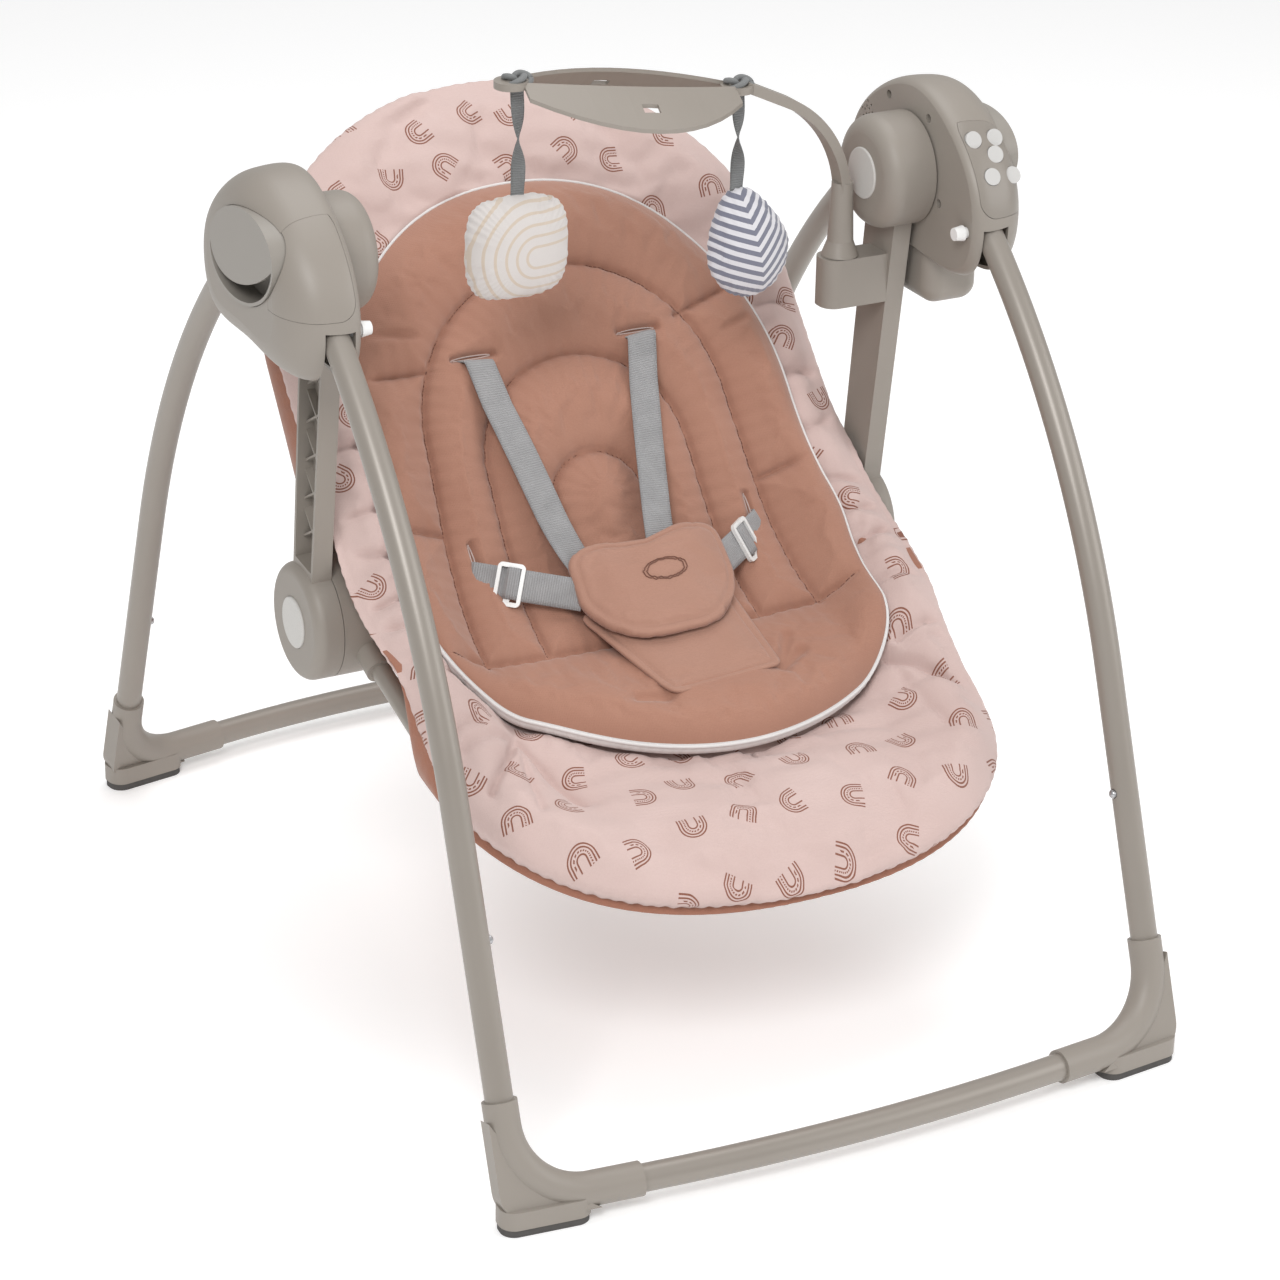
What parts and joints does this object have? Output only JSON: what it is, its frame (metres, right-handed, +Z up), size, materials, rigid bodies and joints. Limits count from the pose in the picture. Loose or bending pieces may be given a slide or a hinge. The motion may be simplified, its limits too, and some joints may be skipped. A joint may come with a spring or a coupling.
{
  "type": "baby swing",
  "caption": "Folding baby swing on a bowed tube stand, with a padded reclining seat, newborn insert, harness, swivelling toy bar and a motor hub with buttons.",
  "frame": {"origin": "on the floor, under the middle of the whole swing", "axes": "+Z up, +X to the child's left, and the child faces -Y"},
  "size_m": [0.627, 0.857, 0.7183],
  "materials": {
    "tube_paint": "satin",
    "housing": "satin",
    "light_plastic": "satin",
    "button_white": "gloss",
    "panel_plastic": "satin",
    "foot_rubber": "matte",
    "steel": "satin",
    "bush": "satin",
    "cell": "satin",
    "board": "satin",
    "copper": "satin",
    "speaker_black": "matte",
    "cover_pink": "matte",
    "insert_terracotta": "matte",
    "webbing": "matte",
    "toy_white": "matte",
    "toy_chevron": "matte"
  },
  "bodies": {
    "stand": {"hub_inner_cover_left": "housing", "hub_inner_cover_right": "housing", "hub_outer_cover_left": "housing", "hub_outer_cover_right": "housing", "grip_panel_left": "light_plastic", "grip_panel_right": "light_plastic", "control_panel": "panel_plastic", "front_trim": "housing", "hub_screws": "steel", "pivot_bushes": "bush", "battery_case": "housing", "battery_door": "housing", "batteries": "cell", "circuit_board": "board", "speaker": "speaker_black", "drive_coil": "copper", "rear_leg_left": "tube_paint", "rear_leg_right": "tube_paint", "rear_floor_tube": "tube_paint", "rear_feet": "housing", "rear_foot_pads": "foot_rubber"},
    "front_frame": {"front_leg_left": "tube_paint", "front_leg_right": "tube_paint", "front_floor_tube": "tube_paint", "front_feet": "housing", "front_foot_pads": "foot_rubber", "leg_knuckles": "housing"},
    "swing": {"swing_arm_left": "housing", "swing_arm_right": "housing", "arm_caps": "light_plastic", "pivot_shafts": "steel", "drive_lever": "housing", "toy_bar_clip": "housing"},
    "seat": {"seat_brackets": "housing", "back_tube": "tube_paint", "pan_tube": "tube_paint", "seat_cover_back": "cover_pink", "seat_cover_pan": "cover_pink", "insert_cushion": "insert_terracotta", "harness_straps": "webbing", "tri_glides": "button_white", "chest_pad": "insert_terracotta", "crotch_pad": "insert_terracotta"},
    "toy_bar": {"toy_bar_post": "housing", "toy_ring": "light_plastic"},
    "round_toy": {"round_toy": "toy_white"},
    "drop_toy": {"drop_toy": "toy_chevron"},
    "music_button": {"music_button": "button_white"},
    "sound_button": {"sound_button": "button_white"},
    "timer_button": {"timer_button": "button_white"},
    "speed_button": {"speed_button": "button_white"},
    "power_button": {"power_button": "button_white"},
    "leg_release_left": {"leg_release_left": "button_white"},
    "front_snap_pin_left": {"front_snap_pin_left": "steel"},
    "rear_snap_pin_left": {"rear_snap_pin_left": "steel"},
    "recline_button_left": {"recline_button_left": "light_plastic"},
    "leg_release_right": {"leg_release_right": "button_white"},
    "front_snap_pin_right": {"front_snap_pin_right": "steel"},
    "rear_snap_pin_right": {"rear_snap_pin_right": "steel"},
    "recline_button_right": {"recline_button_right": "light_plastic"}
  },
  "joints": [
    {"name": "front_leg_fold", "type": "hinge", "parent": "stand", "child": "front_frame", "pos_m": [0, -0.07887, 0.6], "axis": [1, 0, 0], "range_deg": [0, 55]},
    {"name": "swing", "type": "hinge", "parent": "stand", "child": "swing", "pos_m": [0, -0.00687, 0.607], "axis": [1, 0, 0], "range_deg": [-15, 15]},
    {"name": "seat_recline", "type": "hinge", "parent": "swing", "child": "seat", "pos_m": [0, 0.03013, 0.297], "axis": [1, 0, 0], "range_deg": [-18, 0]},
    {"name": "toy_bar_swivel", "type": "hinge", "parent": "swing", "child": "toy_bar", "pos_m": [0.2, -0.00187, 0.52], "axis": [0, 0, 1], "range_deg": [-15, 40]},
    {"name": "round_toy_swing", "type": "hinge", "parent": "toy_bar", "child": "round_toy", "pos_m": [-0.08408, -0.00187, 0.70906], "axis": [1, 0, 0], "range_deg": [-30, 30]},
    {"name": "drop_toy_swing", "type": "hinge", "parent": "toy_bar", "child": "drop_toy", "pos_m": [0.10408, -0.00187, 0.68261], "axis": [1, 0, 0], "range_deg": [-30, 30]},
    {"name": "music_press", "type": "slide", "parent": "stand", "child": "music_button", "axis": [0, 0.8713, -0.4907], "range_m": [0, 0.0008], "stiffness_N_per_m": 300},
    {"name": "sound_press", "type": "slide", "parent": "stand", "child": "sound_button", "axis": [0, 0.8713, -0.4907], "range_m": [0, 0.0008], "stiffness_N_per_m": 300},
    {"name": "timer_press", "type": "slide", "parent": "stand", "child": "timer_button", "axis": [0, 0.8713, -0.4907], "range_m": [0, 0.0008], "stiffness_N_per_m": 300},
    {"name": "speed_press", "type": "slide", "parent": "stand", "child": "speed_button", "axis": [0, 0.8713, -0.4907], "range_m": [0, 0.0008], "stiffness_N_per_m": 300},
    {"name": "power_press", "type": "slide", "parent": "stand", "child": "power_button", "axis": [0, 0.8713, -0.4907], "range_m": [0, 0.0008], "stiffness_N_per_m": 300},
    {"name": "leg_release_left_press", "type": "slide", "parent": "stand", "child": "leg_release_left", "axis": [-1, 0, 0], "range_m": [0, 0.0025], "stiffness_N_per_m": 250},
    {"name": "front_snap_pin_left_press", "type": "slide", "parent": "front_frame", "child": "front_snap_pin_left", "axis": [-1, 0, 0], "range_m": [0, 0.003], "stiffness_N_per_m": 300},
    {"name": "rear_snap_pin_left_press", "type": "slide", "parent": "stand", "child": "rear_snap_pin_left", "axis": [-1, 0, 0], "range_m": [0, 0.003], "stiffness_N_per_m": 300},
    {"name": "recline_button_left_press", "type": "slide", "parent": "swing", "child": "recline_button_left", "axis": [1, 0, 0], "range_m": [0, 0.0015], "stiffness_N_per_m": 400},
    {"name": "leg_release_right_press", "type": "slide", "parent": "stand", "child": "leg_release_right", "axis": [1, 0, 0], "range_m": [0, 0.0025], "stiffness_N_per_m": 250},
    {"name": "front_snap_pin_right_press", "type": "slide", "parent": "front_frame", "child": "front_snap_pin_right", "axis": [1, 0, 0], "range_m": [0, 0.003], "stiffness_N_per_m": 300},
    {"name": "rear_snap_pin_right_press", "type": "slide", "parent": "stand", "child": "rear_snap_pin_right", "axis": [1, 0, 0], "range_m": [0, 0.003], "stiffness_N_per_m": 300},
    {"name": "recline_button_right_press", "type": "slide", "parent": "swing", "child": "recline_button_right", "axis": [-1, 0, 0], "range_m": [0, 0.0015], "stiffness_N_per_m": 400}
  ]
}
